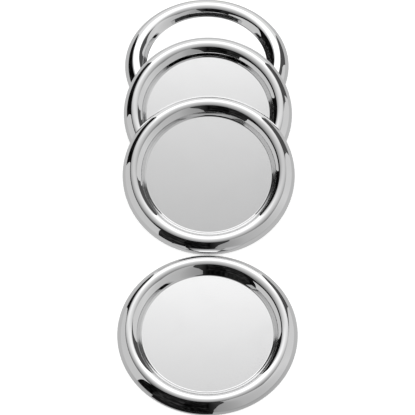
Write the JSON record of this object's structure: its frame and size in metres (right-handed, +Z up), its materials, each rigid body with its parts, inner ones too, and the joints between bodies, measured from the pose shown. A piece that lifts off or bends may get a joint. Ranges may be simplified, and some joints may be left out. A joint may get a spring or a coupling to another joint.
{
  "type": "bottle coaster set",
  "caption": "Set of round polished steel bottle coasters with rolled hollow rims and rubber foot pads, fanned against each other with one standing flat in front.",
  "frame": {"origin": "on the table under the middle of the row", "axes": "+Z up from the table, +Y along the row towards the back coaster, +X to the right seen from the front"},
  "size_m": [0.1212, 0.3436, 0.0291],
  "materials": {
    "polished_steel": "mirror polished",
    "hardboard": "raw board",
    "plate_steel": "mill finish",
    "black_rubber": "matte moulded"
  },
  "bodies": {
    "back_coaster": {"back_dish": "polished_steel", "back_core_disc": "hardboard", "back_base_plate": "plate_steel", "back_foot_pad": "black_rubber"},
    "middle_coaster": {"middle_dish": "polished_steel", "middle_core_disc": "hardboard", "middle_base_plate": "plate_steel", "middle_foot_pad": "black_rubber"},
    "top_coaster": {"top_dish": "polished_steel", "top_core_disc": "hardboard", "top_base_plate": "plate_steel", "top_foot_pad": "black_rubber"},
    "front_coaster": {"front_dish": "polished_steel", "front_core_disc": "hardboard", "front_base_plate": "plate_steel", "front_foot_pad": "black_rubber"}
  },
  "joints": [
    {"name": "middle_lift", "type": "slide", "parent": "back_coaster", "child": "middle_coaster", "axis": [0, 0, 1], "range_m": [0, 0.1]},
    {"name": "top_lift", "type": "slide", "parent": "middle_coaster", "child": "top_coaster", "axis": [0, 0, 1], "range_m": [0, 0.1]},
    {"name": "front_lift", "type": "slide", "parent": "back_coaster", "child": "front_coaster", "axis": [0, 0, 1], "range_m": [0, 0.1]}
  ]
}
